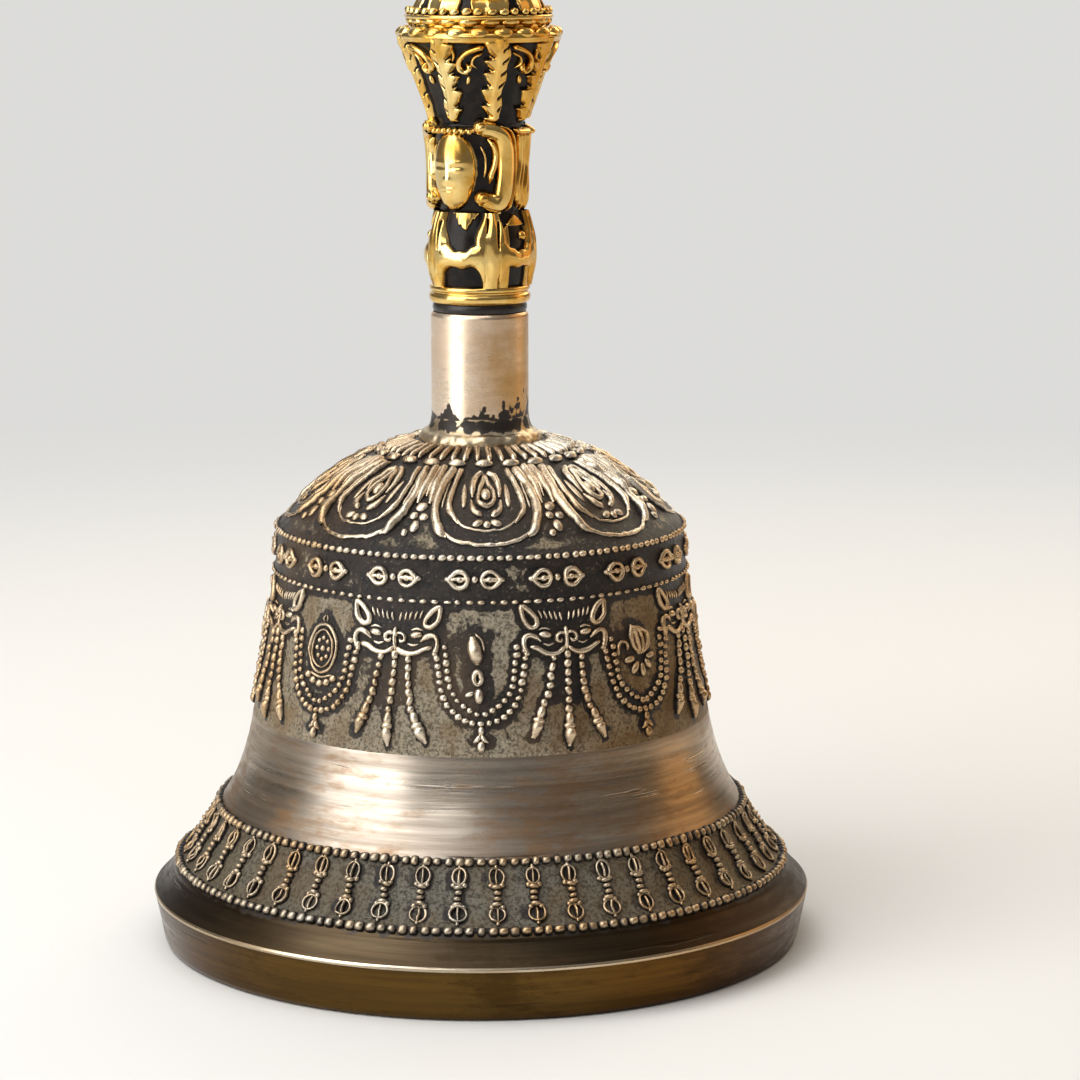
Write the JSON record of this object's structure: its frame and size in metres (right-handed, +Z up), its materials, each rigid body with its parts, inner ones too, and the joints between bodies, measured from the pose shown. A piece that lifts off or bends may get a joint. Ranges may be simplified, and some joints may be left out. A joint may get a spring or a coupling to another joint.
{
  "type": "hand bell",
  "caption": "Temple hand bell with a flared, bead-banded bronze body, a gilt figured handle ending in closed prongs, and a loosely hung clapper.",
  "frame": {"origin": "centre of the mouth's rim plane, where the bell stands", "axes": "+Z up along the bell's axis to the handle's tip, -Y towards the front, X across; the clapper swings furthest along X"},
  "size_m": [0.1, 0.1, 0.178],
  "materials": {
    "bell_bronze": "cast, satin turned waist, dark patina in the relief",
    "sleeve_metal": "smooth, handled",
    "gilt_brass": "polished",
    "black_ground": "blackened recesses",
    "lac": "set lac",
    "iron": "forged, dark"
  },
  "bodies": {
    "bell": {"bell_shell": "bell_bronze", "shoulder_bead_ring": "bell_bronze", "waist_bead_ring": "bell_bronze", "lip_upper_bead_ring": "bell_bronze", "lip_lower_bead_ring": "bell_bronze", "crown_collar": "bell_bronze", "neck_sleeve": "sleeve_metal", "groove_ring": "black_ground", "handle_foot_ring": "gilt_brass", "vase_body": "black_ground", "vase_drapery": "gilt_brass", "head_core": "black_ground", "goddess_face": "gilt_brass", "ear_scrolls": "gilt_brass", "hair_ribbons": "gilt_brass", "hair_knot": "gilt_brass", "calyx_core": "black_ground", "calyx_leaves": "gilt_brass", "lotus_throne": "gilt_brass", "vajra_hub": "gilt_brass", "central_prong": "gilt_brass", "makara_heads": "gilt_brass", "outer_prongs": "gilt_brass", "tip_finial": "gilt_brass", "lac_core": "lac", "tie_rod": "iron", "rod_washer": "iron"},
    "link": {"hanger_link": "iron"},
    "clapper": {"clapper_shank": "iron", "clapper_collar": "iron", "clapper_bob": "iron"}
  },
  "joints": [
    {"name": "link_swing", "type": "hinge", "parent": "bell", "child": "link", "pos_m": [0, 0, 0.0646], "axis": [1, 0, 0], "range_deg": [-12, 12]},
    {"name": "clapper_swing", "type": "hinge", "parent": "link", "child": "clapper", "pos_m": [0, 0, 0.05875], "axis": [0, 1, 0], "range_deg": [-36, 36]}
  ]
}
